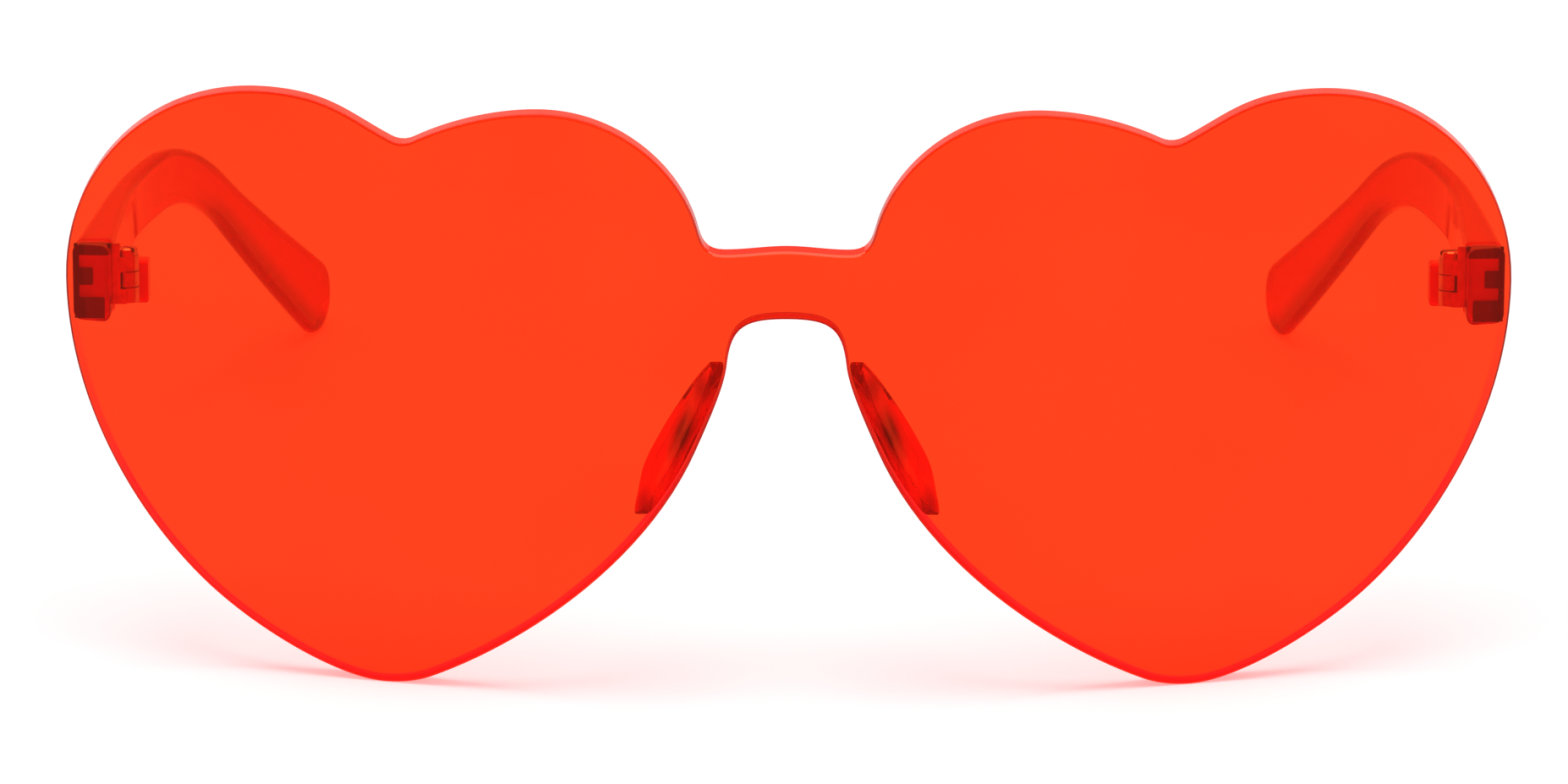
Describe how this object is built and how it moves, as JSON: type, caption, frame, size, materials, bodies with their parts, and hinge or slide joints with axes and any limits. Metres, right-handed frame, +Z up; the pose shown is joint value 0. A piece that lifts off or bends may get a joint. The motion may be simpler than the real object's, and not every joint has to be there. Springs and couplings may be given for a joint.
{
  "type": "heart shaped sunglasses",
  "caption": "Rimless sunglasses with a clear coral shield cut as joined hearts, bonded nose pads and end blocks, and folding temples on small metal screw hinges.",
  "frame": {"origin": "on the table, under the middle of the open glasses' bounding box", "axes": "+Z up, the shield's outer face looks along -Y, the temples run to +Y, +X is to the right when the front is seen; in the nodes' names left is -X and right is +X"},
  "size_m": [0.15, 0.1441, 0.0625],
  "materials": {
    "shield": "clear coral acrylic, polished",
    "pad": "clear red acrylic, polished",
    "block": "clear red acrylic, polished",
    "temple": "clear red acrylic, polished",
    "hinge_metal": "stamped metal",
    "screw_metal": "polished metal"
  },
  "bodies": {
    "front": {"front_shield": "shield", "nose_pad_left": "pad", "nose_pad_right": "pad", "end_block_left": "block", "end_block_right": "block", "front_hinge_leaf_left": "hinge_metal", "front_hinge_leaf_right": "hinge_metal", "hinge_screw_left": "screw_metal", "hinge_screw_right": "screw_metal"},
    "temple_left": {"temple_left": "temple", "temple_hinge_leaf_left": "hinge_metal"},
    "temple_right": {"temple_right": "temple", "temple_hinge_leaf_right": "hinge_metal"}
  },
  "joints": [
    {"name": "temple_left_fold", "type": "hinge", "parent": "front", "child": "temple_left", "pos_m": [-0.06855, -0.05048, 0.04], "axis": [0, -0.0941, -0.9956], "range_deg": [0, 86]},
    {"name": "temple_right_fold", "type": "hinge", "parent": "front", "child": "temple_right", "pos_m": [0.06855, -0.05048, 0.04], "axis": [0, 0.0941, 0.9956], "range_deg": [0, 81]}
  ]
}
